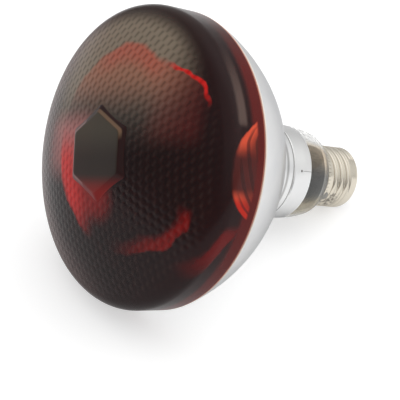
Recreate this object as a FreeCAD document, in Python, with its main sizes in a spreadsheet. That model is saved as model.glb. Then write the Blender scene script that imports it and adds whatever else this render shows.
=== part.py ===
import FreeCAD, Part
import math
import os
from types import SimpleNamespace

import Sketcher

# Infrared heat lamp bulb: a pressed ruby lens fused to a silvered glass bowl with a short neck, a glass stem that
# carries the filament, and a rolled screw cap of the 27 mm Edison size.
#
# Every piece is drawn on the lamp's own axis: z = 0 is the face of the raised hexagon in the middle of the lens and
# +z runs towards the cap. The plane y = 0 holds the two lead wires, and the rim lead leaves the cap at -x.
# The finished lamp then lies as it rests on a table, on its bowl just behind the rim and on the end of its cap.

# Driving dimensions, in millimetres and degrees
SIZES = {
    # lens: a flat crown, a tight knuckle and a nearly straight rim
    "lens_radius": 61.0,
    "lens_crown_radius": 116.0,
    "lens_knuckle_radius": 7.8,
    "lens_rim_height": 12.3,
    "lens_wall": 3.0,
    "lens_edge_bevel": 0.5,
    # raised hexagon in the middle of the lens
    "pad_proud": 0.5,
    "pad_corner_radius": 16.0,
    "pad_slope": 1.6,
    "pad_root_depth": 2.9,
    "pad_corner_round": 2.2,
    "pad_turn": -7.0,
    # reflector bowl
    "seam_radius": 60.5,
    "bowl_radius": 73.7,
    "bowl_angle": 20.3,
    "glass_wall": 2.0,
    "waist_radius": 9.0,
    "collar_radius": 20.6,
    # neck, shoulder and the spout that the cap is cemented on
    "groove_height": 53.9,
    "groove_width": 1.6,
    "groove_depth": 0.6,
    "neck_radius": 19.9,
    "shoulder_height": 60.0,
    "shoulder_length": 12.5,
    "corner_radius": 7.0,
    "spout_step": 0.85,
    "spout_radius": 10.6,
    "spout_length": 8.0,
    # stem: flare, tube and pressed end
    "stem_wall": 1.1,
    "stem_radius": 5.0,
    "stem_length": 19.0,
    "flare_radius": 10.4,
    "flare_length": 7.0,
    "flare_gap": 0.3,
    "press_width": 12.6,
    "press_depth": 4.6,
    "press_length": 9.0,
    "press_blend": 4.0,
    "exhaust_radius": 1.7,
    "exhaust_bore": 1.0,
    "exhaust_length": 21.5,
    # filament mount
    "rod_radius": 1.3,
    "rod_length": 17.0,
    "button_radius": 2.4,
    "button_length": 3.0,
    "filament_ring_radius": 9.0,
    "filament_radius": 0.55,
    "filament_end_gap": 0.03,
    "hook_radius": 0.2,
    "hook_angle": 52.0,
    "hook_gap": 0.05,
    "lead_radius": 0.4,
    "lead_offset": 2.8,
    "lead_bend": 2.0,
    "lead_run": 6.0,
    "lead_rise": 8.0,
    "lead_overrun": 1.2,
    "shield_radius": 15.6,
    "shield_thickness": 0.4,
    "shield_hole_gap": 0.6,
    "seal_gap": 0.02,
    # screw cap of the 27 mm Edison size
    "cap_gap": 0.9,
    "shell_wall": 0.3,
    "shell_length": 18.4,
    "shell_rim_radius": 13.45,
    "shell_rim_height": 1.0,
    "thread_crest_radius": 13.15,
    "thread_depth": 1.02,
    "thread_pitch": 3.629,
    "thread_land": 0.12,
    "thread_start": 3.6,
    "thread_turns": 3.3,
    "bead_turns": 2.3,
    "skirt_length": 2.3,
    "skirt_taper": 0.9,
    "shell_curl": 1.3,
    "shell_lip_radius": 10.2,
    "cement_setback": 0.2,
    "cement_channel": 0.9,
    "side_hole_radius": 0.45,
    "side_hole_height": 1.9,
    # insulator and end contact
    "insulator_gap": 0.05,
    "insulator_flange": 1.2,
    "insulator_cone": 3.4,
    "insulator_end_radius": 7.2,
    "contact_radius": 5.6,
    "contact_thickness": 0.5,
    "eyelet_radius": 1.3,
    "eyelet_bore": 0.8,
    "eyelet_length": 1.6,
    "solder_radius": 3.0,
    "solder_height": 1.1,
    # outer leads and the solder on the skirt
    "outer_lead_radius": 0.25,
    "outer_lead_bend": 1.0,
    "side_solder_radius": 2.6,
    "side_solder_proud": 0.8,
    "side_solder_shift": 1.9,
    # how the lamp is turned about its own axis as it lies
    "rest_roll": 97.0,
}

doc = FreeCAD.newDocument("heat_lamp")
sheet = doc.addObject("Spreadsheet::Sheet", "Sizes")
for row, (alias, number) in enumerate(SIZES.items(), start=1):
    sheet.set(f"A{row}", alias.replace("_", " "))
    sheet.set(f"B{row}", str(number))
    sheet.setAlias(f"B{row}", alias)
doc.recompute()


class Size:
    """A size with its value and the expression on the sheet's cells that gives it"""

    def __init__(self, value, text):
        self.value = value
        self.text = text

    def __add__(self, other):
        other = sized(other)
        return Size(self.value + other.value, f"({self.text} + {other.text})")

    def __sub__(self, other):
        other = sized(other)
        return Size(self.value - other.value, f"({self.text} - {other.text})")

    def __mul__(self, other):
        other = sized(other)
        return Size(self.value * other.value, f"({self.text} * {other.text})")

    def __truediv__(self, other):
        other = sized(other)
        return Size(self.value / other.value, f"({self.text} / {other.text})")

    def __rmul__(self, other):
        return sized(other) * self

    def __rsub__(self, other):
        return sized(other) - self


def sized(item):
    return item if isinstance(item, Size) else Size(float(item), str(item))


def root(item):
    return Size(math.sqrt(item.value), f"sqrt({item.text})")


def sine(item):
    return Size(math.sin(math.radians(item.value)), f"sin({item.text})")


def cosine(item):
    return Size(math.cos(math.radians(item.value)), f"cos({item.text})")


s = SimpleNamespace(**{alias: Size(number, f"Sizes.{alias}") for alias, number in SIZES.items()})


def bind(item, target, size):
    """Ties one property or constraint of an object to the sheet"""
    item.setExpression(target, sized(size).text)


# Sketches and features

def new_body(label):
    body = doc.addObject("PartDesign::Body", label)
    body.Label = label
    return body


def new_sketch(body, name, role="XZ_Plane", height=None):
    """A sketch on one of the body's own origin planes, lifted to a height along that plane's normal"""
    sketch = body.newObject("Sketcher::SketchObject", name)
    plane = [item for item in body.Origin.OriginFeatures if item.Role == role][0]
    sketch.AttachmentSupport = [(plane, "")]
    sketch.MapMode = "FlatFace"
    if height is not None:
        sketch.AttachmentOffset.Base.z = height.value
        bind(sketch, "AttachmentOffset.Base.z", height)
    return sketch


def constrain(sketch, kind, *places, size=None):
    """Adds one constraint, and ties its value to the sheet where it has one"""
    if size is None:
        sketch.addConstraint(Sketcher.Constraint(kind, *places))
        return
    size = sized(size)
    index = sketch.addConstraint(Sketcher.Constraint(kind, *places, size.value))
    bind(sketch, f"Constraints[{index}]", size)


def locate(sketch, edge, point, x, y):
    """Fixes one end or centre of an edge at x, y"""
    for kind, axis, size in (("DistanceX", -2, x), ("DistanceY", -1, y)):
        if sized(size).text in ("0", "0.0"):
            constrain(sketch, "PointOnObject", edge, point, axis)
        else:
            constrain(sketch, kind, -1, 1, edge, point, size=size)


def arc_centre(start, end, radius, side):
    """The centre of an arc under half a turn, to the left (1) or right (-1) of the way from start to end"""
    chord = end - start
    middle = (start + end) * 0.5
    across = FreeCAD.Vector(-chord.y, chord.x, 0).normalize()
    return middle + across * (side * math.sqrt(radius ** 2 - (chord.Length / 2) ** 2))


def outline(body, name, corners, arcs=None, role="XZ_Plane", height=None):
    """A closed outline through corners of (x, y) sizes; arcs gives an edge's radius and the side of its centre"""
    arcs = arcs or {}
    sketch = new_sketch(body, name, role, height)
    spots = [FreeCAD.Vector(sized(x).value, sized(y).value, 0) for x, y in corners]
    ends = []
    for index, start in enumerate(spots):
        end = spots[(index + 1) % len(spots)]
        if index not in arcs:
            edge = sketch.addGeometry(Part.LineSegment(start, end), False)
            ends.append((edge, 1, 2))
            continue
        radius, side = arcs[index]
        centre = arc_centre(start, end, radius.value, side)
        first, last = (start, end) if side > 0 else (end, start)
        angles = [math.atan2(spot.y - centre.y, spot.x - centre.x) for spot in (first, last)]
        circle = Part.Circle(centre, FreeCAD.Vector(0, 0, 1), radius.value)
        edge = sketch.addGeometry(Part.ArcOfCircle(circle, *angles), False)
        constrain(sketch, "Radius", edge, size=radius)
        ends.append((edge, 1, 2) if side > 0 else (edge, 2, 1))
    for index, (edge, first, last) in enumerate(ends):
        following = ends[(index + 1) % len(ends)]
        constrain(sketch, "Coincident", edge, last, following[0], following[1])
        locate(sketch, edge, first, *corners[index])
    return sketch


def circles(body, name, places, role="XY_Plane", height=None):
    """A sketch of circles, each given as (x, y, radius)"""
    sketch = new_sketch(body, name, role, height)
    for x, y, radius in places:
        centre = FreeCAD.Vector(sized(x).value, sized(y).value, 0)
        edge = sketch.addGeometry(Part.Circle(centre, FreeCAD.Vector(0, 0, 1), sized(radius).value), False)
        locate(sketch, edge, 3, x, y)
        constrain(sketch, "Radius", edge, size=radius)
    return sketch


def ellipse(body, name, width, depth, height):
    """A sketch of one ellipse about the axis, width along x and depth along y"""
    sketch = new_sketch(body, name, "XY_Plane", height)
    centre = FreeCAD.Vector(0, 0, 0)
    shape = Part.Ellipse(FreeCAD.Vector(width.value / 2, 0, 0), FreeCAD.Vector(0, depth.value / 2, 0), centre)
    edge = sketch.addGeometry(shape, False)
    sketch.exposeInternalGeometry(edge)
    constrain(sketch, "Coincident", edge, 3, -1, 1)
    constrain(sketch, "Horizontal", edge + 1)
    constrain(sketch, "Distance", edge + 1, size=width)
    constrain(sketch, "Distance", edge + 2, size=depth)
    return sketch


def path(body, name, points, radius):
    """An open path in the plane of the leads: straight runs through the points, joined by tangent arcs"""
    sketch = new_sketch(body, name)
    spots = [FreeCAD.Vector(sized(x).value, sized(y).value, 0) for x, y in points]
    guides = []
    for index in range(len(spots) - 1):
        guide = sketch.addGeometry(Part.LineSegment(spots[index], spots[index + 1]), True)
        locate(sketch, guide, 1, *points[index])
        guides.append(guide)
    for first, second in zip(guides, guides[1:]):
        constrain(sketch, "Coincident", first, 2, second, 1)
    locate(sketch, guides[-1], 2, *points[-1])
    starts, stops = [spots[0]], []
    bends = []
    for before, corner, after in zip(spots, spots[1:], spots[2:]):
        inward, onward = (before - corner).normalize(), (after - corner).normalize()
        half = inward.getAngle(onward) / 2
        reach = radius.value / math.tan(half)
        centre = corner + (inward + onward).normalize() * (radius.value / math.sin(half))
        stops.append(corner + inward * reach)
        starts.append(corner + onward * reach)
        bends.append(centre)
    stops.append(spots[-1])
    runs = []
    for guide, start, stop in zip(guides, starts, stops):
        run = sketch.addGeometry(Part.LineSegment(start, stop), False)
        runs.append(run)
    constrain(sketch, "Coincident", runs[0], 1, guides[0], 1)
    constrain(sketch, "Coincident", runs[-1], 2, guides[-1], 2)
    for index, centre in enumerate(bends):
        first, last = stops[index], starts[index + 1]
        turn = (first - centre).cross(last - centre).z
        order = (first, last) if turn > 0 else (last, first)
        angles = [math.atan2(spot.y - centre.y, spot.x - centre.x) for spot in order]
        circle = Part.Circle(centre, FreeCAD.Vector(0, 0, 1), radius.value)
        bend = sketch.addGeometry(Part.ArcOfCircle(circle, *angles), False)
        near, far = (1, 2) if turn > 0 else (2, 1)
        constrain(sketch, "Radius", bend, size=radius)
        constrain(sketch, "PointOnObject", runs[index], 2, guides[index])
        constrain(sketch, "PointOnObject", runs[index + 1], 1, guides[index + 1])
        constrain(sketch, "Tangent", runs[index], 2, bend, near)
        constrain(sketch, "Tangent", bend, far, runs[index + 1], 1)
    return sketch


def revolve(body, name, sketch, angle=360.0, cut=False, middle=False):
    feature = body.newObject("PartDesign::Groove" if cut else "PartDesign::Revolution", name)
    feature.Profile = sketch
    feature.ReferenceAxis = (sketch, ["V_Axis"])
    feature.Angle = sized(angle).value
    feature.Midplane = middle
    if isinstance(angle, Size):
        bind(feature, "Angle", angle)
    return feature


def pad(body, name, sketch, length, back=False):
    feature = body.newObject("PartDesign::Pad", name)
    feature.Profile = sketch
    feature.Length = length.value
    bind(feature, "Length", length)
    feature.Reversed = back
    return feature


def pocket(body, name, sketch, length, back=False):
    """A pocket; the volume before and after is compared, because one that points away cuts nothing"""
    doc.recompute()
    before = body.Shape.Volume
    feature = body.newObject("PartDesign::Pocket", name)
    feature.Profile = sketch
    feature.Length = length.value
    bind(feature, "Length", length)
    feature.Reversed = back
    doc.recompute()
    if not body.Shape.Volume < before:
        raise RuntimeError(f"{name} cuts nothing from {body.Label}")
    return feature


def loft(body, name, sketch, sections):
    feature = body.newObject("PartDesign::AdditiveLoft", name)
    feature.Profile = sketch
    feature.Sections = sections
    feature.Ruled = True
    return feature


def helix_cut(body, name, sketch, pitch, turns):
    """A groove of the sketch's section that winds about the axis as a right-hand thread"""
    doc.recompute()
    before = body.Shape.Volume
    feature = body.newObject("PartDesign::SubtractiveHelix", name)
    feature.Profile = sketch
    feature.ReferenceAxis = (sketch, ["V_Axis"])
    feature.Mode = "pitch-turns-angle"
    feature.Pitch = pitch.value
    feature.Turns = turns.value
    bind(feature, "Pitch", pitch)
    bind(feature, "Turns", turns)
    doc.recompute()
    if not body.Shape.Volume < before:
        raise RuntimeError(f"{name} cuts nothing from {body.Label}")
    return feature


def wire(label, points, radius, bend):
    """A round wire that follows straight runs and bends in the plane of the leads"""
    body = new_body(label)
    x, start = points[0]
    section = circles(body, f"{label}_section", [(x, 0, radius)], height=start)
    route = path(body, f"{label}_route", points, bend)
    feature = body.newObject("PartDesign::AdditivePipe", f"{label}_pipe")
    feature.Profile = section
    feature.Spine = route
    return body


# Heights along the axis that several pieces share

crown_height = s.pad_proud + s.lens_crown_radius
knuckle_ring = s.lens_radius - s.lens_knuckle_radius
knuckle_sine = knuckle_ring / (s.lens_crown_radius - s.lens_knuckle_radius)
knuckle_cosine = root(1 - knuckle_sine * knuckle_sine)
knuckle_height = crown_height - (s.lens_crown_radius - s.lens_knuckle_radius) * knuckle_cosine
seam_height = knuckle_height + s.lens_rim_height
bowl_ring = s.seam_radius - s.bowl_radius * cosine(s.bowl_angle)
bowl_height = seam_height - s.bowl_radius * sine(s.bowl_angle)
corner_ring = s.spout_radius + s.spout_step
corner_height = seam_height + s.shoulder_height + s.shoulder_length
shoulder_top = corner_height + s.corner_radius
spout_end = shoulder_top + s.spout_length
press_back = spout_end - s.stem_length
press_front = press_back - s.press_blend - s.press_length
lead_join = press_front + s.press_length / 2
button_back = press_front - s.rod_length
filament_height = button_back - s.button_length / 2
cap_start = shoulder_top + s.cap_gap
shell_end = cap_start + s.shell_length
insulator_end = shell_end + s.insulator_cone
contact_end = insulator_end + s.contact_thickness


# Lens: one pressing of ruby glass, with the raised hexagon in its middle

def make_lens():
    body = new_body("lens")
    wall = s.lens_wall
    outer, inner = s.lens_crown_radius, s.lens_crown_radius - wall
    round_outer, round_inner = s.lens_knuckle_radius, s.lens_knuckle_radius - wall
    section = outline(body, "lens_section", [
        (0, s.pad_proud),
        (outer * knuckle_sine, crown_height - outer * knuckle_cosine),
        (s.lens_radius, knuckle_height),
        (s.seam_radius + s.lens_edge_bevel * 0.1, seam_height - s.lens_edge_bevel),
        (s.seam_radius - s.lens_edge_bevel, seam_height),
        (s.seam_radius - wall, seam_height),
        (knuckle_ring + round_inner, knuckle_height),
        (inner * knuckle_sine, crown_height - inner * knuckle_cosine),
        (0, s.pad_proud + wall),
    ], {0: (outer, 1), 1: (round_outer, 1), 6: (round_inner, -1), 7: (inner, -1)})
    revolve(body, "lens_blank", section)
    face = hexagon(body, "pad_face", s.pad_corner_radius, Size(0.0, "0"))
    foot = hexagon(body, "pad_foot", s.pad_corner_radius + s.pad_slope * s.pad_root_depth, s.pad_root_depth)
    loft(body, "pad", face, [foot])
    return body


def hexagon(body, name, radius, height):
    """A regular hexagon with rounded corners, drawn square to the axis"""
    cut = s.pad_corner_round * math.tan(math.radians(30))
    corners = []
    for step in range(6):
        turn = s.pad_turn + 60 * step
        for other in (turn - 60, turn + 60):
            corners.append((radius * cosine(turn) + cut * (cosine(other) - cosine(turn)),
                            radius * sine(turn) + cut * (sine(other) - sine(turn))))
    rounds = {2 * step: (s.pad_corner_round, 1) for step in range(6)}
    return outline(body, name, corners, rounds, role="XY_Plane", height=height)


# Reflector: bowl, collar, neck and spout, one piece of clear glass that is silvered inside

def make_reflector():
    body = new_body("reflector")
    wall = s.glass_wall
    waist_ring = s.collar_radius + s.waist_radius
    reach = s.bowl_radius + s.waist_radius
    across = (waist_ring - bowl_ring) / reach
    along = root(1 - across * across)
    waist_height = bowl_height + reach * along
    groove = seam_height + s.groove_height
    half = s.groove_width / 2
    shoulder = seam_height + s.shoulder_height
    fall = s.neck_radius - corner_ring
    length = s.shoulder_length
    shoulder_radius = (fall * fall + length * length - s.corner_radius * s.corner_radius) / (
        2 * (fall - s.corner_radius))
    shoulder_ring = s.neck_radius - shoulder_radius
    sweep = shoulder_radius - s.corner_radius
    turn_across = (corner_ring - shoulder_ring) / sweep
    turn_along = length / sweep
    inner_bowl = s.bowl_radius - wall
    drop = seam_height - bowl_height
    inner_seam = bowl_ring + root(inner_bowl * inner_bowl - drop * drop)
    outer_corner, inner_corner = s.corner_radius, s.corner_radius - wall
    section = outline(body, "reflector_section", [
        (s.seam_radius, seam_height),
        (bowl_ring + s.bowl_radius * across, bowl_height + s.bowl_radius * along),
        (s.collar_radius, waist_height),
        (s.collar_radius, groove - half),
        (s.neck_radius - s.groove_depth, groove),
        (s.neck_radius, groove + half),
        (s.neck_radius, shoulder),
        (corner_ring + outer_corner * turn_across, corner_height + outer_corner * turn_along),
        (corner_ring, shoulder_top),
        (s.spout_radius, shoulder_top),
        (s.spout_radius, spout_end),
        (s.spout_radius - wall, spout_end),
        (s.spout_radius - wall, shoulder_top - wall),
        (corner_ring, shoulder_top - wall),
        (corner_ring + inner_corner * turn_across, corner_height + inner_corner * turn_along),
        (s.neck_radius - wall, shoulder),
        (s.neck_radius - wall, groove + half),
        (s.collar_radius - wall, groove - half),
        (s.collar_radius - wall, waist_height),
        (bowl_ring + inner_bowl * across, bowl_height + inner_bowl * along),
        (inner_seam, seam_height),
    ], {
        0: (s.bowl_radius, 1),
        1: (s.waist_radius, -1),
        6: (shoulder_radius, 1),
        7: (outer_corner, 1),
        13: (inner_corner, -1),
        14: (shoulder_radius - wall, -1),
        18: (s.waist_radius + wall, 1),
        19: (inner_bowl, -1),
    })
    revolve(body, "reflector_blank", section)
    return body


# Stem: a flared glass tube, sealed to the spout, whose other end is pressed flat round the leads

def make_stem():
    body = new_body("stem")
    wall = s.stem_wall
    funnel_ring = s.spout_radius - s.glass_wall - s.flare_gap
    funnel_start = spout_end - s.flare_length
    widening = funnel_ring - s.stem_radius
    radius = (widening * widening + s.flare_length * s.flare_length) / (2 * widening)
    rise = s.flare_length + wall
    inner_end = s.stem_radius + radius - root((radius + wall) * (radius + wall) - rise * rise)
    section = outline(body, "stem_section", [
        (s.stem_radius, press_back),
        (s.stem_radius, funnel_start),
        (funnel_ring, spout_end),
        (s.flare_radius, spout_end),
        (s.flare_radius, spout_end + wall),
        (inner_end, spout_end + wall),
        (s.stem_radius - wall, funnel_start),
        (s.stem_radius - wall, press_back),
    ], {1: (radius, -1), 5: (radius + wall, 1)})
    revolve(body, "flare", section)
    tube_end = circles(body, "tube_end", [(0, 0, s.stem_radius)], height=press_back)
    press_height = press_back - s.press_blend
    press_top = ellipse(body, "press_top", s.press_width, s.press_depth, press_height)
    loft(body, "press_blend", tube_end, [press_top])
    press_section = ellipse(body, "press_section", s.press_width, s.press_depth, press_height)
    pad(body, "press", press_section, s.press_length, back=True)
    bore = s.lead_radius + s.seal_gap
    front = circles(body, "lead_seats", [(s.lead_offset, 0, bore), (0 - s.lead_offset, 0, bore)], height=press_front)
    pocket(body, "inner_lead_seats", front, s.press_length / 2, back=True)
    outer_bore = s.outer_lead_radius + s.seal_gap
    places = [(s.lead_offset, 0, outer_bore), (0 - s.lead_offset, 0, outer_bore)]
    middle = circles(body, "outer_seats", places, height=lead_join)
    pocket(body, "outer_lead_seats", middle, s.press_length / 2 + s.press_blend, back=True)
    return body


def make_exhaust_tube():
    """The tube that the bulb was pumped through, melted shut at its end"""
    body = new_body("exhaust_tube")
    tip = press_back + s.exhaust_length
    section = outline(body, "exhaust_section", [
        (s.exhaust_bore, press_back),
        (s.exhaust_radius, press_back),
        (s.exhaust_radius, tip - s.exhaust_radius),
        (0, tip),
        (0, tip - s.exhaust_radius + s.exhaust_bore),
        (s.exhaust_bore, tip - s.exhaust_radius),
    ], {2: (s.exhaust_radius, 1), 4: (s.exhaust_bore, -1)})
    revolve(body, "exhaust", section)
    return body


# Filament mount: a glass rod with a button, three wire hooks, the coil and its two lead wires

def make_support_rod():
    body = new_body("support_rod")
    front = button_back - s.button_length
    edge = s.button_length / 4
    section = outline(body, "rod_section", [
        (0, press_front),
        (0, front),
        (s.button_radius - edge, front),
        (s.button_radius, front + edge),
        (s.button_radius, button_back - edge),
        (s.button_radius - edge, button_back),
        (s.rod_radius, button_back),
        (s.rod_radius, press_front),
    ], {2: (edge, 1), 4: (edge, 1)})
    revolve(body, "rod", section)
    return body


def make_heat_shield():
    """The disc that keeps the filament's heat off the stem and the cap; it lies against the pressed end"""
    body = new_body("heat_shield")
    hole = s.lead_radius + s.shield_hole_gap
    places = [
        (0, 0, s.shield_radius),
        (0, 0, s.rod_radius + s.seal_gap),
        (s.lead_offset, 0, hole),
        (0 - s.lead_offset, 0, hole),
    ]
    section = circles(body, "shield_section", places, height=press_front)
    pad(body, "shield", section, s.shield_thickness, back=True)
    return body


def make_filament():
    """The coil's outer form: half a ring, whose ends meet the two lead wires"""
    body = new_body("filament")
    section = circles(body, "filament_section", [(s.filament_ring_radius, filament_height, s.filament_radius)],
                      role="YZ_Plane")
    clear = (s.lead_radius + s.filament_end_gap) / s.filament_ring_radius
    short = 2 * clear * (180 / math.pi)
    revolve(body, "filament_coil", section, angle=180 - short, middle=True)
    return body


def make_hooks():
    """Three wire hooks from the button to the coil, each with an eye round the coil"""
    hooks = []
    eye = s.filament_radius + s.hook_gap + s.hook_radius
    start = s.button_radius + s.seal_gap
    length = s.filament_ring_radius - eye - start
    for step, side in enumerate(("left", "middle", "right"), start=-1):
        angle = 90 - step * s.hook_angle.value
        label = f"filament_hook_{side}"
        outward = FreeCAD.Vector(math.cos(math.radians(angle)), math.sin(math.radians(angle)), 0)
        level = FreeCAD.Vector(0, 0, filament_height.value)
        shank = doc.addObject("Part::Cylinder", f"{label}_shank")
        shank.Radius = s.hook_radius.value
        shank.Height = length.value
        bind(shank, "Radius", s.hook_radius)
        bind(shank, "Height", length)
        shank.Placement = FreeCAD.Placement(level + outward * start.value,
                                            FreeCAD.Rotation(FreeCAD.Vector(0, 0, 1), outward))
        ring = doc.addObject("Part::Torus", f"{label}_eye")
        ring.Radius1 = eye.value
        ring.Radius2 = s.hook_radius.value
        bind(ring, "Radius1", eye)
        bind(ring, "Radius2", s.hook_radius)
        along = FreeCAD.Vector(-outward.y, outward.x, 0)
        ring.Placement = FreeCAD.Placement(level + outward * s.filament_ring_radius.value,
                                           FreeCAD.Rotation(FreeCAD.Vector(0, 0, 1), along))
        hook = doc.addObject("Part::Fuse", label)
        hook.Base = shank
        hook.Tool = ring
        hook.Label = label
        hooks.append(hook)
    return hooks


def make_leads():
    """The two stiff wires that hold the ends of the coil"""
    leads = []
    for label, side in (("lead_wire_left", -1), ("lead_wire_right", 1)):
        offset, ring = side * s.lead_offset, side * s.filament_ring_radius
        bend = press_front - s.lead_run
        points = [
            (offset, lead_join),
            (offset, bend),
            (ring, bend - s.lead_rise),
            (ring, filament_height - s.lead_overrun),
        ]
        leads.append(wire(label, points, s.lead_radius, s.lead_bend))
    return leads


def make_outer_leads():
    """The thin wires from the pressed end to the end contact and to the hole in the skirt"""
    tip = press_back + s.exhaust_length
    turn = tip + s.outer_lead_bend
    centre_points = [
        (s.lead_offset, lead_join),
        (s.lead_offset, turn),
        (0, turn + s.lead_offset),
        (0, contact_end),
    ]
    between = (s.spout_radius + s.thread_crest_radius - s.thread_depth - s.shell_wall) / 2
    over = spout_end + s.stem_wall + s.outer_lead_bend
    hole = cap_start + s.side_hole_height
    rim_points = [
        (0 - s.lead_offset, lead_join),
        (0 - s.lead_offset, over),
        (0 - between, over),
        (0 - between, hole),
        (s.seal_gap - s.thread_crest_radius, hole),
    ]
    bend = s.outer_lead_bend
    return [wire("outer_lead_centre", centre_points, s.outer_lead_radius, bend),
            wire("outer_lead_rim", rim_points, s.outer_lead_radius, bend * 0.5)]


# Screw cap: a thin shell with a rolled thread, glass insulator, end contact, cement and solder

def make_cap_shell():
    """The shell is drawn from its own rim, and then set on the lamp's axis where the cap starts"""
    body = new_body("cap_shell")
    wall = s.shell_wall
    crest = s.thread_crest_radius
    trough = crest - s.thread_depth
    bore = trough - wall
    skirt_bore = crest - wall
    end = s.shell_length
    curl = end - s.shell_curl
    curl_ring = crest - s.shell_curl
    rim = s.shell_rim_height
    section = outline(body, "shell_section", [
        (s.shell_rim_radius - wall, 0),
        (s.shell_rim_radius, wall),
        (s.shell_rim_radius, rim),
        (crest, rim + wall),
        (crest, curl),
        (curl_ring, end),
        (s.shell_lip_radius, end),
        (s.shell_lip_radius, end - wall),
        (curl_ring - wall, end - wall),
        (bore, curl),
        (bore, s.skirt_length + s.skirt_taper),
        (skirt_bore, s.skirt_length),
        (skirt_bore, 0),
    ], {4: (s.shell_curl, 1)})
    revolve(body, "shell_blank", section)
    # the rolled thread is an even wave of tangent arcs; the same wave, one wall further in, is pressed out inside
    pitch, depth = s.thread_pitch, s.thread_depth
    wave = (depth * depth + pitch * pitch / 4) / (4 * depth)
    crest_ring, trough_ring = crest - wave, trough + wave
    half_land = s.thread_land / 2
    edge = pitch / 2 - half_land
    groove = s.thread_start
    top = crest_ring + root(wave * wave - half_land * half_land)
    outside = crest + s.thread_land * 3
    waist = crest - depth / 2
    cutter = outline(body, "groove_section", [
        (outside, groove - edge),
        (outside, groove + edge),
        (top, groove + edge),
        (waist, groove + pitch / 4),
        (waist, groove - pitch / 4),
        (top, groove - edge),
    ], {2: (wave, 1), 3: (wave, -1), 4: (wave, 1)})
    helix_cut(body, "rolled_groove", cutter, pitch, s.thread_turns)
    bead = groove + pitch / 2
    inner_wave, outer_wave = wave - wall, wave + wall
    lean, rise = (2 * wave - depth) / (2 * wave), pitch / 2 / (2 * wave)
    low = trough_ring - root(outer_wave * outer_wave - half_land * half_land)
    inside = bore - s.thread_land * 3
    knee = crest_ring + inner_wave * lean
    reach = inner_wave * rise
    hollow = outline(body, "bead_section", [
        (inside, bead - edge),
        (low, bead - edge),
        (knee, bead - reach),
        (knee, bead + reach),
        (low, bead + edge),
        (inside, bead + edge),
    ], {1: (outer_wave, -1), 2: (inner_wave, 1), 3: (outer_wave, -1)})
    helix_cut(body, "pressed_bead", hollow, pitch, s.bead_turns)
    hole = circles(body, "side_hole_section", [(0, s.side_hole_height, s.side_hole_radius)], "YZ_Plane")
    pocket(body, "side_hole", hole, s.shell_rim_radius * 1.1)
    body.Placement.Base.z = cap_start.value
    return body


def make_insulator():
    body = new_body("cap_insulator")
    flange = s.thread_crest_radius - s.shell_curl - s.shell_wall - s.insulator_gap
    throat = s.shell_lip_radius - s.insulator_gap
    inner_face = shell_end - s.shell_wall
    hole = s.eyelet_radius + s.insulator_gap
    section = outline(body, "insulator_section", [
        (hole, inner_face - s.insulator_flange),
        (flange, inner_face - s.insulator_flange),
        (flange, inner_face),
        (throat, inner_face),
        (throat, shell_end),
        (s.insulator_end_radius, insulator_end),
        (hole, insulator_end),
    ])
    revolve(body, "insulator", section)
    return body


def make_centre_contact():
    body = new_body("centre_contact")
    section = outline(body, "contact_section", [
        (s.eyelet_bore, insulator_end - s.eyelet_length),
        (s.eyelet_radius, insulator_end - s.eyelet_length),
        (s.eyelet_radius, insulator_end),
        (s.contact_radius, insulator_end),
        (s.contact_radius, contact_end - s.contact_thickness / 2),
        (s.contact_radius - s.contact_thickness / 2, contact_end),
        (s.eyelet_bore, contact_end),
    ])
    revolve(body, "contact", section)
    return body


def make_contact_solder():
    body = new_body("contact_solder")
    dome = (s.solder_radius * s.solder_radius + s.solder_height * s.solder_height) / (2 * s.solder_height)
    section = outline(body, "solder_section", [
        (0, contact_end),
        (s.solder_radius, contact_end),
        (0, contact_end + s.solder_height),
    ], {1: (dome, 1)})
    revolve(body, "solder", section)
    return body


def make_cement():
    """The baked cement between the spout and the skirt, with a channel for the rim lead"""
    body = new_body("basing_cement")
    start = cap_start + s.cement_setback
    end = cap_start + s.skirt_length
    outer = s.thread_crest_radius - s.shell_wall
    section = outline(body, "cement_section", [
        (s.spout_radius, start),
        (outer, start),
        (outer, end),
        (s.spout_radius, end),
    ])
    revolve(body, "cement", section)
    half = s.cement_channel / 2
    floor = cap_start + s.side_hole_height - half
    channel = outline(body, "channel_section", [
        (0 - half, floor),
        (half, floor),
        (half, end + half),
        (0 - half, end + half),
    ], role="YZ_Plane")
    pocket(body, "channel", channel, s.thread_crest_radius)
    return body


def make_side_solder():
    """A flat bead of solder on the skirt, beside the hole that the rim lead comes out of"""
    turn = s.side_solder_shift.value / s.thread_crest_radius.value
    height = cap_start + s.side_hole_height
    depth = s.thread_crest_radius + s.side_solder_proud - s.side_solder_radius
    ball = doc.addObject("Part::Sphere", "side_solder_ball")
    ball.Radius = s.side_solder_radius.value
    bind(ball, "Radius", s.side_solder_radius)
    ball.Placement.Base = FreeCAD.Vector(-depth.value * math.cos(turn), -depth.value * math.sin(turn), height.value)
    skirt = []
    for name, radius, top in (("skirt_core", s.thread_crest_radius, s.side_hole_height + s.side_solder_radius),
                              ("rim_core", s.shell_rim_radius, s.shell_rim_height + s.shell_wall)):
        core = doc.addObject("Part::Cylinder", name)
        core.Radius = radius.value
        bind(core, "Radius", radius)
        core.Height = (top + s.side_solder_radius).value
        bind(core, "Height", top + s.side_solder_radius)
        core.Placement.Base = FreeCAD.Vector(0, 0, (cap_start - s.side_solder_radius).value)
        skirt.append(core)
    form = doc.addObject("Part::MultiFuse", "skirt_form")
    form.Shapes = skirt
    solder = doc.addObject("Part::Cut", "side_solder")
    solder.Base = ball
    solder.Tool = form
    solder.Label = "side_solder"
    return solder


pieces = [make_lens(), make_reflector(), make_stem(), make_exhaust_tube(), make_support_rod(), make_heat_shield(),
          make_filament(), *make_hooks(), *make_leads(), *make_outer_leads(), make_cement(), make_cap_shell(),
          make_insulator(), make_centre_contact(), make_contact_solder(), make_side_solder()]
doc.recompute()


# The lamp at rest: the table touches the bowl behind the rim and the curled end of the screw cap

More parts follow.
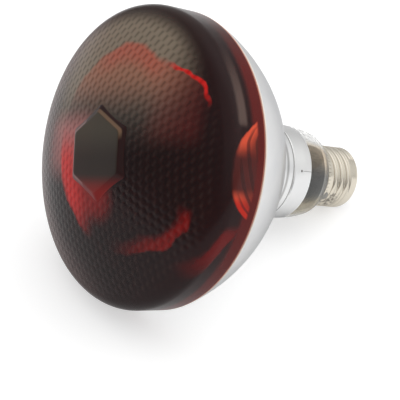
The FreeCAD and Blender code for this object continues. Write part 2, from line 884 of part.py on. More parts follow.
def rest_placement():
    """The tilt that puts the bowl and the curled end of the cap on z = 0, with the footprint's middle at the origin"""
    across = s.thread_crest_radius.value - s.shell_curl.value - bowl_ring.value
    along = shell_end.value - s.shell_curl.value - bowl_height.value
    reach = math.hypot(across, along)
    lean = math.atan2(along, across) - math.acos((s.bowl_radius.value - s.shell_curl.value) / reach)
    tilt = FreeCAD.Rotation(FreeCAD.Vector(0, 1, 0), 90 + math.degrees(lean))
    roll = FreeCAD.Rotation(FreeCAD.Vector(0, 0, 1), s.rest_roll.value)
    height = s.bowl_radius.value + bowl_height.value * math.sin(lean) + bowl_ring.value * math.cos(lean)
    turned = FreeCAD.Placement(FreeCAD.Vector(0, 0, height), tilt * roll)
    spans = []
    for piece in pieces:
        shape = piece.Shape.copy()
        shape.Placement = turned.multiply(shape.Placement)
        spans.append(shape.optimalBoundingBox(False, False))
    middle = (min(span.XMin for span in spans) + max(span.XMax for span in spans)) / 2
    return FreeCAD.Placement(FreeCAD.Vector(-middle, 0, height), tilt * roll)


rest = rest_placement()
for piece in pieces:
    piece.Placement = rest.multiply(piece.Placement)
doc.recompute()

for item in doc.Objects:
    if "Invalid" in item.State or "Error" in item.State:
        raise RuntimeError(f"{item.Label} failed to build")
os.makedirs("parts", exist_ok=True)
for piece in pieces:
    if piece.Shape.isNull() or not piece.Shape.isValid():
        raise RuntimeError(f"{piece.Label} has no valid shape")
for piece in pieces:
    piece.Shape.exportStep(f"parts/{piece.Label}.step")
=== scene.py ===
import bpy
import math
import numpy as np
from mathutils import Matrix, Vector


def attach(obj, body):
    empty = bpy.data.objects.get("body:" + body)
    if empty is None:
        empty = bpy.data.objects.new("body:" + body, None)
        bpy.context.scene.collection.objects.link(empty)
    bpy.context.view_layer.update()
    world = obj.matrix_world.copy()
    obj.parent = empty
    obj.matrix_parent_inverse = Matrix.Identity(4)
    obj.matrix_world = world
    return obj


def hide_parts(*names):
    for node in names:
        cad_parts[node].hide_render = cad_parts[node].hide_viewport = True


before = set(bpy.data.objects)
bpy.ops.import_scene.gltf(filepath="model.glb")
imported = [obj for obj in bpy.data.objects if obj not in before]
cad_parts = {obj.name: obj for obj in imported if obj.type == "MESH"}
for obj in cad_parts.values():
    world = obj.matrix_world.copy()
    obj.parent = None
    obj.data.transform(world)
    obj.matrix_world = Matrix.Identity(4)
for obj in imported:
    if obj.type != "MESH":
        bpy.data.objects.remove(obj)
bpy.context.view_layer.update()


# Lens: one pressing of ruby glass, sealed to the bowl along its seam. Its outside is covered with small
# pressed beads, in even rows that run with the corners of the hexagon. The hexagon is bare and stands half
# a millimetre proud, and the inside is a plain dome.
MM = 0.001
LEAN = math.radians(26.0279359)
ROLL = math.radians(97.0)
PAD_CENTRE = Vector((-57.3769, 0.0, 69.9071)) * MM

# Every piece is drawn on the lamp's own axis, in millimetres and with the sizes of the solids: z = 0 is the
# face of the hexagon, and +z runs to the screw cap.
axis = (Matrix.Translation(PAD_CENTRE) @ Matrix.Rotation(math.pi / 2 + LEAN, 4, "Y")
        @ Matrix.Rotation(ROLL, 4, "Z"))
lamp = bpy.data.objects.new("lamp_axis", None)
bpy.context.collection.objects.link(lamp)
lamp.matrix_world = axis

CROWN = 116.0
KNUCKLE = 7.8
RIM_RADIUS = 61.0
SEAM = 34.5822
SEAM_RADIUS = 60.5
SEAM_EDGE = 0.5
LENS_WALL = 3.0
CROWN_TOP = 0.5
CROWN_CENTRE = CROWN_TOP + CROWN
KNUCKLE_RING = RIM_RADIUS - KNUCKLE
KNUCKLE_TURN = math.asin(KNUCKLE_RING / (CROWN - KNUCKLE))
KNUCKLE_Z = CROWN_CENTRE - (CROWN - KNUCKLE) * math.cos(KNUCKLE_TURN)
CROWN_RUN = CROWN * KNUCKLE_TURN
KNUCKLE_RUN = KNUCKLE * (math.pi / 2 - KNUCKLE_TURN)
WALL_RUN = SEAM - SEAM_EDGE - KNUCKLE_Z

PAD_SIZE = 16.0
PAD_SLOPE = 1.6
PAD_ROUNDING = 2.2
PAD_TURN = math.radians(-7.0)
PAD_DEEPEST = 2.9
FACE_SHARES = (0.02, 0.35, 0.7, 0.93)
EDGE_STEPS = ((-0.25, 0.02), (0.08, 0.14))
SLOPE_SHARES = (0.22, 0.4, 0.6, 0.8, 1.0)

BEAD_HEIGHT = 0.12
BEAD_PITCH = 3.67
BEAD_RADIUS = BEAD_PITCH * 0.56
BEAD_LEVEL = 0.6
BEAD_ROWS = math.radians(54.8)
SHADE_SIDE = math.radians(169.0)
SHADE_STEP = 0.9
BEADS_START = 1.5
BEADS_END = 58.5
BEADS_FADE = 4.0

COLUMNS = 600
DOME_ROWS = 145
HALVINGS = 40
INNER_COLUMNS = 160
INNER_DOME_ROWS = 40
INNER_KNUCKLE_ROWS = 9


class Shading:
    """The shader nodes of a material or of the world"""

    def __init__(self, owner):
        owner.use_nodes = True
        self.tree = owner.node_tree

    def fill(self, made, inputs):
        """Gives a node's sockets their values or links"""
        for key, item in inputs.items():
            if isinstance(item, Value):
                self.tree.links.new(item.socket, made.inputs[key])
            else:
                made.inputs[key].default_value = item

    def node(self, kind, inputs=None, **settings):
        """Adds a node, with its settings first and its sockets next, and gives its first output"""
        made = self.tree.nodes.new(kind)
        for name, setting in settings.items():
            setattr(made, name, setting)
        self.fill(made, inputs or {})
        return Value(self, made.outputs[0])


class Value:
    """A shader socket that adds, multiplies and compares as a number does"""

    def __init__(self, shading, socket):
        self.shading = shading
        self.socket = socket

    def out(self, key):
        """Another output of the node that this one comes from"""
        return Value(self.shading, self.socket.node.outputs[key])

    def math(self, operation, *others):
        return self.shading.node("ShaderNodeMath", dict(enumerate((self,) + others)), operation=operation)

    def __add__(self, other):
        return self.math("ADD", other)

    def __sub__(self, other):
        return self.math("SUBTRACT", other)

    def __mul__(self, other):
        return self.math("MULTIPLY", other)

    def __truediv__(self, other):
        return self.math("DIVIDE", other)

    def __radd__(self, other):
        return self.shading.node("ShaderNodeMath", {0: other, 1: self}, operation="ADD")

    def __rsub__(self, other):
        return self.shading.node("ShaderNodeMath", {0: other, 1: self}, operation="SUBTRACT")

    def __rmul__(self, other):
        return self.shading.node("ShaderNodeMath", {0: other, 1: self}, operation="MULTIPLY")

    def __rtruediv__(self, other):
        return self.shading.node("ShaderNodeMath", {0: other, 1: self}, operation="DIVIDE")

    def __neg__(self):
        return self.math("MULTIPLY", -1.0)

    def __abs__(self):
        return self.math("ABSOLUTE")

    def __gt__(self, other):
        return self.math("GREATER_THAN", other)

    def most(self, limit):
        """This value, but no more than the limit"""
        return self.math("MINIMUM", limit)

    def hypot(self, other):
        """How far off a point is that lies this far one way and that far across it"""
        return (self * self + other * other).math("SQRT")

    def bearing(self, other):
        """The direction in degrees of a point that lies this far up and that far to the right"""
        return self.math("ARCTAN2", other) * math.degrees(1.0)

    def ramp(self, low, high, start=0.0, end=1.0):
        """A smooth step from start, at low, to end, at high"""
        sockets = {0: self, 1: low, 2: high, 3: start, 4: end}
        return self.shading.node("ShaderNodeMapRange", sockets, interpolation_type="SMOOTHSTEP")

    def fall(self, low, high):
        """1 below low, falling smoothly to 0 at high"""
        return self.ramp(low, high, 1.0, 0.0)

    def band(self, low, low_end, high_end, high):
        """1 between low_end and high_end, falling smoothly to 0 at low and at high"""
        return self.ramp(low, low_end) * self.fall(high_end, high)

    def blend(self, first, second):
        """The first colour where this is 0, the second where it is 1"""
        return self.shading.node("ShaderNodeMix", {0: self, 6: first, 7: second}, data_type="RGBA").out(2)


class Look(Shading):
    """A material under way, with its main shader"""

    def __init__(self, name, **sockets):
        self.material = bpy.data.materials.new(name)
        super().__init__(self.material)
        self.shader = self.tree.nodes["Principled BSDF"]
        self.set(**sockets)

    def set(self, **sockets):
        self.fill(self.shader, {name.replace("_", " "): item for name, item in sockets.items()})

    def place(self):
        """Where a point lies on the lamp's axis: all of it in metres, then x, y and z in millimetres"""
        whole = self.node("ShaderNodeTexCoord", object=lamp).out("Object")
        parts = self.node("ShaderNodeSeparateXYZ", {0: whole})
        return whole, *(parts.out(key) * 1000.0 for key in "XYZ")

    def stored(self, name):
        """A value kept with the mesh's points"""
        return self.node("ShaderNodeAttribute", attribute_name=name).out("Fac")

    def noise(self, where, scale, detail=2.0):
        return self.node("ShaderNodeTexNoise", {"Vector": where, "Scale": scale, "Detail": detail})

    def bump(self, height, strength, distance=0.0002):
        sockets = {"Height": height, "Strength": strength, "Distance": distance}
        self.set(Normal=self.node("ShaderNodeBump", sockets))


def piece(name, points, faces, looks, replaced=(), which=None):
    """A mesh on the lamp's axis, from points in millimetres; which gives each face its look"""
    mesh = bpy.data.meshes.new(name)
    placed = np.asarray(points) * MM @ np.array(axis.to_3x3()).T + np.array(axis.translation)
    mesh.from_pydata(placed.tolist(), [], [tuple(face) for face in faces])
    for look in looks:
        mesh.materials.append(look.material)
    mesh.polygons.foreach_set("use_smooth", [True] * len(mesh.polygons))
    if which is not None:
        mesh.polygons.foreach_set("material_index", which)
    item = bpy.data.objects.new(name, mesh)
    bpy.context.collection.objects.link(item)
    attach(item, "root")
    if replaced:
        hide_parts(*replaced)
    return item


def ring_points(rows, turns):
    """The points of rings, each given by its radius and its height"""
    rings = []
    for radius, height in rows:
        places = np.broadcast_arrays(radius * np.cos(turns), radius * np.sin(turns), height)
        rings.append(np.stack(places, axis=-1))
    return np.concatenate(rings)


def ring_faces(rows, columns, flip=False):
    """The quads between rings"""
    row, column = np.meshgrid(np.arange(rows - 1), np.arange(columns), indexing="ij")
    near = row * columns
    far = (row + 1) * columns
    after = (column + 1) % columns
    corners = [near + column, near + after, far + after, far + column]
    if flip:
        corners.reverse()
    return np.stack(corners, axis=-1).reshape(-1, 4).tolist()


def lens_profile(run):
    """Radius, height and outward direction at a distance along the dome from its middle"""
    on_crown = run < CROWN_RUN
    on_wall = run > CROWN_RUN + KNUCKLE_RUN
    turn = np.where(on_crown, run / CROWN, KNUCKLE_TURN + (run - CROWN_RUN) / KNUCKLE)
    turn = np.minimum(turn, math.pi / 2)
    radius = np.where(on_crown, CROWN * np.sin(turn), KNUCKLE_RING + KNUCKLE * np.sin(turn))
    height = np.where(on_crown, CROWN_CENTRE - CROWN * np.cos(turn), KNUCKLE_Z - KNUCKLE * np.cos(turn))
    along = run - CROWN_RUN - KNUCKLE_RUN
    draft = (RIM_RADIUS - SEAM_RADIUS) / (SEAM - KNUCKLE_Z)
    radius = np.where(on_wall, RIM_RADIUS - draft * along, radius)
    height = np.where(on_wall, KNUCKLE_Z + along, height)
    return radius, height, np.sin(turn), -np.cos(turn)


def hexagon_reach(size, turn):
    """How far a hexagon with rounded corners reaches in each direction"""
    sixth = math.pi / 6
    off = np.abs((turn - PAD_TURN + sixth) % (2 * sixth) - sixth)
    middle = size - PAD_ROUNDING * 2 / math.sqrt(3)
    across = middle * np.sin(off)
    on_corner = middle * np.cos(off) + np.sqrt(np.maximum(PAD_ROUNDING ** 2 - across ** 2, 0))
    on_flat = size * math.cos(sixth) / np.cos(sixth - off)
    return np.where(across < PAD_ROUNDING * math.sin(sixth), on_corner, on_flat)


def beads(x, y):
    """The pressed beads, from 0 between them to 1 on top"""
    along = x * math.cos(BEAD_ROWS) + y * math.sin(BEAD_ROWS)
    across = y * math.cos(BEAD_ROWS) - x * math.sin(BEAD_ROWS)
    rows_apart = BEAD_PITCH * math.sqrt(3)
    even = np.hypot(along - np.round(along / BEAD_PITCH) * BEAD_PITCH,
                    across - np.round(across / rows_apart) * rows_apart)
    odd = np.hypot(along - (np.floor(along / BEAD_PITCH) + 0.5) * BEAD_PITCH,
                   across - (np.floor(across / rows_apart) + 0.5) * rows_apart)
    return np.clip(1 - (np.minimum(even, odd) / BEAD_RADIUS) ** 2, 0, None)


# The glass mirrors a room and the bowl behind it. They are given as a tint by place, on two directions
# across the lens: to the right and up as one looks at it.
RIGHT = math.radians(144.2)
UP = math.radians(54.2)
RING_RIGHT = 12.3
RING_UP = 3.1
LEAF_TURN = -31.5
LEAF_TOP = 18.6


def across_lens(x, y, direction):
    return x * math.cos(direction) + y * math.sin(direction)


def painted_veil_and_ground(right, up, radius, around, z, inside):
    """Nearly black ruby under painted reflections and painted red light on the wall; gives the painted veil
    over the upper part too
    """
    # Painted reflection: a veil, olive grey inside the ring and brown to red-brown higher up, over the upper
    # part of the lens
    painted_veil = up.ramp(-2.0, 30.0) * right.band(-50.0, -22.0, 25.0, 49.0) * radius.ramp(51.0, 59.0, 1.0, 0.05)
    brown = up.ramp(12.0, 34.0).blend((0.125, 0.112, 0.088, 1), (0.39, 0.18, 0.112, 1))
    veil = inside.blend((0.275, 0.225, 0.162, 1), brown)
    # Painted red light on the wall towards the seam, strongest on one side
    seam_side = around.band(-100.0, -68.0, 120.0, 179.0) * 0.6 + 0.2
    edge = radius.ramp(46.0, 60.5) * 0.05 + z.ramp(26.5, 29.5) * seam_side
    ground = edge.blend((0.013, 0.0055, 0.006, 1), (0.156, 0.013, 0.011, 1))
    colour = painted_veil.blend(ground, veil)
    # Painted pink reflection left of the middle
    pink = right.band(-50.0, -24.0, -12.0, 2.0) * up.band(-14.0, 0.0, 8.0, 20.0) * 0.5
    colour = pink.blend(colour, (0.95, 0.33, 0.31, 1))
    # Painted pale reflection along the rim, strongest on the left
    rim = radius.ramp(38.0, 58.0) * right.ramp(-45.0, 0.0, 0.5, 0.0)
    colour = rim.blend(colour, (0.30, 0.18, 0.17, 1))
    # Painted red reflection inside the ring, up and to the right
    warm = inside * up.band(0.0, 12.0, 34.0, 44.0) * right.band(20.0, 34.0, 44.0, 52.0) * 0.16
    colour = warm.blend(colour, (0.44, 0.063, 0.05, 1))
    # Painted streak of reflection on the wall
    streak = z.band(20.0, 22.0, 24.0, 26.0) * around.band(-84.0, -52.0, -49.0, -46.0)
    return painted_veil, streak.blend(colour, (0.13, 0.088, 0.075, 1))


def reflected_red_ring(right, up, around, z, away, angle, rough):
    """Painted red reflections: a broken ring off the middle, an arc low on the wall and a spot below the
    hexagon
    """
    left = away.band(20.0, 36.0, 39.0, 42.0) * angle.band(-14.0, 12.0, 32.0, 66.0)
    wider = away - angle.band(100.0, 128.0, 132.0, 146.0) * 2.6
    bottom = wider.band(35.0, 40.0, 41.0, 42.5) * angle.band(76.0, 120.0, 138.0, 146.0) * 0.29
    corner = away.band(40.2, 41.2, 41.7, 42.5) * angle.band(-160.0, -147.0, -130.0, -114.0)
    top = away.band(30.0, 38.5, 40.0, 42.5) * angle.band(-128.0, -104.0, -74.0, -46.0) * 0.28
    slant = z + around / 3.0 + rough * 4.0
    low_arc = slant.band(17.5, 20.0, 23.5, 25.5) * around.band(-12.0, -7.0, 0.0, 18.0) * 0.2
    below = right.hypot(up + 18.0).ramp(2.0, 12.0, 0.3, 0.0)
    return (left + bottom + corner + top + low_arc + below).most(1.0)


def reflected_leaf_on_wall(colour, around, z, rough):
    """A leaf of painted red reflection on the wall by the seam, with darker arcs across it"""
    off = around - LEAF_TURN + rough * 3.0
    square = off * off
    depth = z - LEAF_TOP - square * (square * 0.00007 + 0.015) + rough * 2.0
    leaf = depth.ramp(-0.4, 1.0) * z.fall(29.5, 31.0)
    arcs = (depth * 1.3 - off * 0.5).math("SINE").ramp(-0.9, 0.2, 0.7, 0.0) * depth.ramp(1.5, 4.0)
    lobe = off.ramp(8.0, 13.0).blend((0.9, 0.11, 0.047, 1), (0.72, 0.025, 0.010, 1))
    lit = (off.fall(-11.0, -4.0) + off.ramp(6.0, 11.0)) * depth.ramp(3.0, 9.0, 1.0, 0.3)
    inner = lit.blend((0.10, 0.018, 0.015, 1), lobe)
    return leaf.blend(colour, arcs.blend(inner, (0.044, 0.012, 0.011, 1)))


def ruby_colour(look):
    """The ruby glass with what it mirrors, and with the lit and dark sides of its beads"""
    where, x, y, z = look.place()
    rough = look.noise(where, 110.0, 3.0) - 0.5
    right = across_lens(x, y, RIGHT)
    up = across_lens(x, y, UP)
    radius = x.hypot(y)
    around = (-y).bearing(-x)
    ring_right = right - RING_RIGHT
    ring_up = up - RING_UP
    angle = (-ring_up).bearing(-ring_right)
    away = ring_right.hypot(ring_up) + rough * 5.0
    away = away + angle.band(-145.0, -119.0, -115.0, -76.0) * 5.3
    painted_veil, colour = painted_veil_and_ground(right, up, radius, around, z, away.fall(40.0, 42.5))
    red = reflected_red_ring(right, up, around, z, away, angle, rough)
    colour = red.blend(colour, (0.82, 0.015, 0.012, 1))
    colour = reflected_leaf_on_wall(colour, around, z, rough)
    # Painted highlight: a pale orange line along the seam
    colour = z.ramp(33.5, 34.1).blend(colour, (0.7, 0.22, 0.14, 1))
    shade = look.stored("bead")
    lit_side = shade.fall(0.1, 0.5) * painted_veil.ramp(0.0, 1.0, 0.035, 0.14)
    dark_side = shade.ramp(0.5, 0.9) * painted_veil.ramp(0.0, 1.0, 0.35, 0.42)
    colour = lit_side.blend(colour, (0.47, 0.34, 0.29, 1))
    return dark_side.blend(colour, (0.012, 0.008, 0.008, 1))


def hexagon_colour(look):
    """Painted reflection on the hexagon: its face olive at the top and darker below, red at its low end, with
    a painted gleam on two of its slopes
    """
    _, x, y, z = look.place()
    height = across_lens(x, y, UP)
    facing = height.bearing(across_lens(x, y, RIGHT))
    top_gleam = facing.band(18.0, 30.0, 85.0, 100.0) * z.band(0.05, 0.2, 0.7, 1.1)
    slope = top_gleam.blend((0.022, 0.0075, 0.0075, 1), (0.19, 0.12, 0.07, 1))
    left_gleam = abs(facing).ramp(118.0, 125.0) * z.ramp(0.5, 1.6, 1.0, 0.2)
    slope = left_gleam.blend(slope, (0.26, 0.13, 0.125, 1))
    # Painted reflection: the face paler towards the top
    face = height.ramp(-3.0, 11.0).blend((0.033, 0.026, 0.021, 1), (0.075, 0.066, 0.047, 1))
    pad = z.ramp(0.05, 0.2).blend(face, slope)
    # Painted red reflection at the low end of the hexagon
    return height.ramp(-16.0, -8.0, 0.55, 0.0).blend(pad, (0.5, 0.015, 0.012, 1))


GLASS_IOR = 1.48
RUBY_ROUGHNESS = 0.22
ruby = dict(IOR=GLASS_IOR, Specular_IOR_Level=0.03, Transmission_Weight=0.35)
beaded = Look("ruby_glass", Roughness=RUBY_ROUGHNESS, **ruby)
beaded.set(Base_Color=ruby_colour(beaded))
smooth = Look("ruby_hexagon", Roughness=0.3, **ruby)
smooth.set(Base_Color=hexagon_colour(smooth))

# The depth at which the slope of the hexagon meets the dome, in every direction
turns = np.arange(COLUMNS) * 2 * math.pi / COLUMNS
shallow = np.zeros(COLUMNS)
deep = np.full(COLUMNS, PAD_DEEPEST)
for _ in range(HALVINGS):
    middle = (shallow + deep) / 2
    dome = np.sqrt(CROWN ** 2 - (CROWN_CENTRE - np.maximum(middle, CROWN_TOP)) ** 2)
    outside = hexagon_reach(PAD_SIZE + PAD_SLOPE * middle, turns) > dome
    shallow = np.where(outside, middle, shallow)
    deep = np.where(outside, deep, middle)
foot = (shallow + deep) / 2

pad_edge = hexagon_reach(PAD_SIZE, turns)
rows = [(pad_edge * share, 0.0) for share in FACE_SHARES]
for outward, depth in EDGE_STEPS:
    rows.append((pad_edge + outward, depth))
for share in SLOPE_SHARES:
    depth = foot * share
    rows.append((hexagon_reach(PAD_SIZE + PAD_SLOPE * depth, turns), depth))
pad_rows = len(rows)

# A bead's shade is 0 on its lit side, 0.5 on a level place and 1 on its shaded side
even_shade = np.full(COLUMNS, 0.5)
shades = [even_shade] * pad_rows
foot_run = CROWN * np.arcsin(np.clip(rows[-1][0] / CROWN, 0, 1))
last_run = CROWN_RUN + KNUCKLE_RUN + WALL_RUN
step_x = SHADE_STEP * math.cos(SHADE_SIDE)
step_y = SHADE_STEP * math.sin(SHADE_SIDE)
for share in np.linspace(0, 1, DOME_ROWS + 1)[1:]:
    run = foot_run + (last_run - foot_run) * share
    radius, height, out_r, out_z = lens_profile(run)
    x = radius * np.cos(turns)
    y = radius * np.sin(turns)
    begun = np.clip((run - foot_run) / BEADS_START, 0, 1)
    fade = begun * np.clip((BEADS_END - radius) / BEADS_FADE, 0, 1)
    rise = fade * (beads(x, y) - BEAD_LEVEL) * BEAD_HEIGHT
    slope = beads(x - step_x, y - step_y) - beads(x + step_x, y + step_y)
    shades.append(0.5 + 0.5 * fade * slope)
    rows.append((radius + out_r * rise, height + out_z * rise))
rows.append((SEAM_RADIUS - SEAM_EDGE, SEAM))
shades.append(even_shade)

on_pad = np.arange(len(rows) - 1) < pad_rows - 1
which = np.repeat(on_pad.astype(int), COLUMNS).tolist() + [1]
faces = ring_faces(len(rows), COLUMNS) + [list(range(COLUMNS))[::-1]]
points = ring_points(rows, turns)
lens = piece("lens_outside", points, faces, [beaded, smooth], ["lens"], which)
kept = lens.data.attributes.new("bead", "FLOAT", "POINT")
kept.data.foreach_set("value", np.concatenate(shades).astype(np.float32))

inner_turns = np.arange(INNER_COLUMNS) * 2 * math.pi / INNER_COLUMNS
inner_crown = CROWN - LENS_WALL
inner_knuckle = KNUCKLE - LENS_WALL
inner_rows = []
for turn in np.linspace(0.001, KNUCKLE_TURN, INNER_DOME_ROWS):
    inner_rows.append((inner_crown * math.sin(turn), CROWN_CENTRE - inner_crown * math.cos(turn)))
for turn in np.linspace(KNUCKLE_TURN, math.pi / 2, INNER_KNUCKLE_ROWS + 1)[1:]:
    radius = KNUCKLE_RING + inner_knuckle * math.sin(turn)
    inner_rows.append((radius, KNUCKLE_Z - inner_knuckle * math.cos(turn)))
inner_rows.append((SEAM_RADIUS - LENS_WALL, SEAM - 0.02))
inner_rows.append((SEAM_RADIUS - SEAM_EDGE, SEAM - 0.01))
points = ring_points(inner_rows, inner_turns)
faces = ring_faces(len(inner_rows), INNER_COLUMNS, flip=True) + [list(range(INNER_COLUMNS))]
clear_ruby = {**ruby, "Transmission_Weight": 1.0}
inner_look = Look("ruby_glass_inside", Base_Color=(0.9, 0.25, 0.2, 1), Roughness=RUBY_ROUGHNESS, **clear_ruby)
piece("lens_inside", points, faces, [inner_look])


# Reflector: one bowl of clear glass with its neck, ringed by a groove, and a silver film on the inside. The
# film ends part of the way along the neck, and from there to the cap the glass is clear. The lens is sealed
# to its wide end.
GROOVE = SEAM + 53.9
SILVER_END = SEAM + 63.8
SCRATCH_TURN = -35.6
DOT_Z = 92.7


def dress(node, look):
    """Gives a solid its material"""
    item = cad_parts[node]
    item.data.materials.clear()
    item.data.materials.append(look.material)


silver = Look("silvered_glass", Specular_Tint=(0.5, 0.5, 0.51, 1), Roughness=0.3, Coat_Weight=0.15,
              Coat_Roughness=0.08)
where, x, y, z = silver.place()
around = (-y).bearing(-x)
film = z.ramp(SEAM + 0.7, SEAM + 1.1)
cloud = silver.noise(where, 60.0, 4.0).ramp(0.3, 0.7)
bright = cloud.blend((0.88, 0.885, 0.89, 1), (0.95, 0.95, 0.945, 1))
# Painted highlight: past the groove, the neck is brighter on one side
neck = z.ramp(GROOVE, GROOVE + 2.0) * around.band(-179.0, -120.0, -50.0, -25.0)
bright = neck.blend(bright, (0.96, 0.96, 0.95, 1))
# Painted shade: two dark lines, in the groove and four millimetres before it towards the bowl
near_line = z.band(GROOVE - 1.6, GROOVE - 0.9, GROOVE - 0.5, GROOVE + 0.2)
far_line = z.band(GROOVE - 5.2, GROOVE - 4.4, GROOVE - 4.0, GROOVE - 3.2) * 0.6
lines = (near_line + far_line) * 0.85
scratch_side = around.band(SCRATCH_TURN - 0.6, SCRATCH_TURN - 0.2, SCRATCH_TURN, SCRATCH_TURN + 0.4)
scratch = scratch_side * z.band(93.0, 94.0, 107.0, 109.0) * 0.8
dot_up = z - DOT_Z
dot_side = around - SCRATCH_TURN
dot = (dot_up * dot_up + dot_side * dot_side * 0.12).ramp(0.1, 0.4, 0.9, 0.0)
# The painted shade of the lines, with the scratch and the dot, darkens the silver
darkening = (lines + scratch + dot).most(1.0)
bright = darkening.blend(bright, (0.12, 0.11, 0.10, 1))
silver.set(Metallic=film, Base_Color=film.blend((0.80, 0.72, 0.63, 1), bright))
silver.bump(silver.noise(where, 25.0, 3.0), 0.15, 0.001)

# The clear end's colour is a painted reflection of the cap and the inside of the neck, darker on one side
# than on the other
pale = (0.88, 0.88, 0.87, 1)
reflection_and_scratch = around.ramp(-82.0, -68.0).blend(pale, (0.66, 0.56, 0.43, 1))
reflection_and_scratch = around.ramp(-56.0, -28.0).blend(reflection_and_scratch, (0.29, 0.29, 0.28, 1))
reflection_and_scratch = around.ramp(-8.0, 8.0).blend(reflection_and_scratch, (0.48, 0.43, 0.32, 1))
reflection_and_scratch = around.ramp(26.0, 44.0).blend(reflection_and_scratch, pale)
reflection_and_scratch = scratch.blend(reflection_and_scratch, (0.05, 0.05, 0.05, 1))
sockets = {"Base Color": reflection_and_scratch, "IOR": GLASS_IOR, "Transmission Weight": 0.88, "Roughness": 0.02}
clear_end = silver.node("ShaderNodeBsdfPrincipled", sockets)
silvered = Value(silver, silver.shader.outputs[0])
both = silver.node("ShaderNodeMixShader", {0: z > SILVER_END, 1: silvered, 2: clear_end})
silver.fill(silver.tree.nodes["Material Output"], {0: both})
dress("reflector", silver)


# Stem, tube and rod: clear glass, worked in the flame and sealed to the end of the neck. Nickel wires run
# through the stem's pinch to the tungsten coil, which hangs on the hooks of the rod. A plain sheet disc
# shields the neck from its heat.
glass = Look("clear_glass", Base_Color=(0.96, 0.97, 0.96, 1), IOR=GLASS_IOR, Transmission_Weight=1.0,
             Roughness=0.0)
for name in ("stem", "exhaust_tube", "support_rod"):
    dress(name, glass)
wire = Look("nickel_wire", Base_Color=(0.60, 0.57, 0.53, 1), Metallic=1.0, Roughness=0.35)
for name in ("lead_wire_left", "lead_wire_right", "outer_lead_centre", "outer_lead_rim"):
    dress(name, wire)
for name in ("filament_hook_left", "filament_hook_middle", "filament_hook_right"):
    dress(name, wire)
coil = Look("tungsten_coil", Base_Color=(0.30, 0.30, 0.32, 1), Metallic=1.0, Roughness=0.45)
dress("filament", coil)
sheet = Look("shield_sheet", Base_Color=(0.70, 0.70, 0.70, 1), Metallic=1.0, Roughness=0.3)
dress("heat_shield", sheet)


# Screw cap: a shell of nickel-plated brass, rolled to its thread, with black glass and a brass contact in
# its end. Grey solder holds the two wires, and pale cement bonds the shell to the neck.
CAP_START = SEAM + 80.4
SPOT_Z = 117.8
SPOT_TURN = 4.5

nickel = Look("cap_metal", Metallic=1.0, Roughness=0.17)
where, x, y, z = nickel.place()
around = (-y).bearing(-x)
# Painted shade: darker brown in the roots of the thread
plate_and_groove_shade = x.hypot(y).ramp(12.2, 12.9).blend((0.28, 0.22, 0.15, 1), (0.80, 0.74, 0.63, 1))
# Darker in mottled patches on one side, near the start of the cap
dark_patches = z.band(CAP_START + 0.5, CAP_START + 2.0, CAP_START + 8.0, CAP_START + 13.0)
dark_patches = dark_patches * around.band(-4.0, 6.0, 34.0, 55.0) * nickel.noise(where, 500.0, 3.0).ramp(0.40, 0.60)
spot_up = z - SPOT_Z
spot_side = around - SPOT_TURN
spot = (spot_up * spot_up + spot_side * spot_side * 0.05).fall(0.15, 0.5)
ticks = (around * 0.9).math("SINE").ramp(0.55, 0.95)
ticks = ticks * z.band(CAP_START, CAP_START + 0.4, CAP_START + 1.4, CAP_START + 2.0)
darkening = (dark_patches * 0.7 + spot + ticks * 0.35).most(1.0)
nickel.set(Base_Color=darkening.blend(plate_and_groove_shade, (0.06, 0.05, 0.045, 1)))
nickel.bump(nickel.noise(where, 900.0), 0.12)
dress("cap_shell", nickel)
black_glass = Look("black_glass", Base_Color=(0.01, 0.01, 0.012, 1), Roughness=0.08)
dress("cap_insulator", black_glass)
brass = Look("contact_brass", Base_Color=(0.80, 0.64, 0.34, 1), Metallic=1.0, Roughness=0.25)
dress("centre_contact", brass)
solder = Look("solder", Base_Color=(0.34, 0.33, 0.31, 1), Metallic=1.0, Roughness=0.45)
dress("contact_solder", solder)
dress("side_solder", solder)
cement = Look("cement", Base_Color=(0.50, 0.44, 0.36, 1), Roughness=0.9)
dress("basing_cement", cement)


# Floor, light and camera: the lamp lies on a white floor in a soft light that comes from above, from behind
# on the left and from the right. Past the lamp the camera sees plain white.
AZIMUTH = -31.12
ELEVATION = 35.24
DISTANCE = 0.699
PICTURE = 400
FOCAL = 1738.0
SEAM_IN_PICTURE = (164.24, 159.0)
SENSOR = 36.0
FLOOR_REACH = 2.5
NEAREST = 0.05
FARTHEST = 20.0
ROOM_LEVEL = 0.12
LIGHT_GAIN = 1.6
FLOOR_IN_MIRRORS = 0.5
ROOM_IN_MIRRORS = 0.3


def toward(azimuth, elevation):
    """A direction from angles in degrees; azimuth 0 is the front, -y, and 90 is +x"""
    azimuth = math.radians(azimuth)
    elevation = math.radians(elevation)
    flat = math.cos(elevation)
    return Vector((math.sin(azimuth) * flat, -math.cos(azimuth) * flat, math.sin(elevation)))


def shown(shading, mirrored):
    """1 for what the camera sees, straight or through glass, and less in a mirror"""
    rays = shading.node("ShaderNodeLightPath")
    straight = rays.out("Is Camera Ray")
    through = rays.out("Is Transmission Ray")
    mirror = rays.out("Is Glossy Ray")
    return (straight + through + mirror * mirrored).most(1.0)


def glow(azimuth, elevation, narrow, wide, strength):
    """A soft bright part of the room: full within the narrow angle, gone past the wide one"""
    sockets = {0: way, 1: toward(azimuth, elevation)}
    facing = room.node("ShaderNodeVectorMath", sockets, operation="DOT_PRODUCT").out("Value")
    return facing.ramp(math.cos(math.radians(wide)), math.cos(math.radians(narrow)), 0.0, strength)


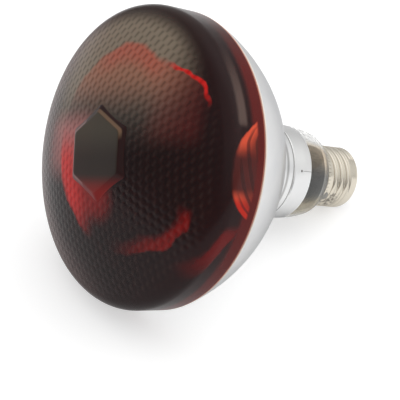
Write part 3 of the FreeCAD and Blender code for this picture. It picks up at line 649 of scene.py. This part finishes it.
floor_mesh = bpy.data.meshes.new("floor")
floor_corners = [(x * FLOOR_REACH, y * FLOOR_REACH, 0) for x, y in ((-1, -1), (1, -1), (1, 1), (-1, 1))]
floor_mesh.from_pydata(floor_corners, [], [(0, 1, 2, 3)])
floor = bpy.data.objects.new("floor", floor_mesh)
bpy.context.collection.objects.link(floor)
white = Look("floor", Base_Color=(0.62, 0.62, 0.62, 1), Roughness=0.9, Specular_IOR_Level=0.0,
             Emission_Strength=0.5)
white.set(Emission_Color=shown(white, FLOOR_IN_MIRRORS).blend((0, 0, 0, 1), (1, 1, 1, 1)))
floor_mesh.materials.append(white.material)

# The room lights surfaces more than it shows in mirrors, so that a colour renders about as it is written
world = bpy.data.worlds.new("studio")
bpy.context.scene.world = world
room = Shading(world)
way = room.node("ShaderNodeTexCoord").out("Generated")
behind = glow(-152, 20, 16, 40, 0.5)
above = glow(10, 65, 30, 75, 0.6)
beside = glow(100, 20, 40, 85, 0.45)
strength = behind + above + beside + ROOM_LEVEL
strength = strength * shown(room, 1.0).ramp(0.0, 1.0, LIGHT_GAIN, 1.0)
strength = strength.math("MAXIMUM", shown(room, ROOM_IN_MIRRORS))
room.fill(room.tree.nodes["Background"], {"Color": (1, 1, 1, 1), "Strength": strength})

to_camera = toward(AZIMUTH, ELEVATION)
right = toward(AZIMUTH + 90.0, 0.0)
up = to_camera.cross(right)
seam_centre = PAD_CENTRE + (axis.to_3x3() @ Vector((0, 0, SEAM))) * MM
aim_right = (PICTURE / 2 - SEAM_IN_PICTURE[0]) / FOCAL
aim_down = (PICTURE / 2 - SEAM_IN_PICTURE[1]) / FOCAL
aim = (-to_camera + right * aim_right - up * aim_down).normalized()
camera = bpy.data.objects.new("camera", bpy.data.cameras.new("camera"))
bpy.context.collection.objects.link(camera)
camera.data.sensor_width = SENSOR
camera.data.lens = FOCAL / PICTURE * SENSOR
camera.data.clip_start = NEAREST
camera.data.clip_end = FARTHEST
camera.location = seam_centre + to_camera * DISTANCE
camera.rotation_euler = aim.to_track_quat("-Z", "Y").to_euler()
bpy.context.scene.camera = camera
bpy.context.scene.view_settings.view_transform = "Standard"
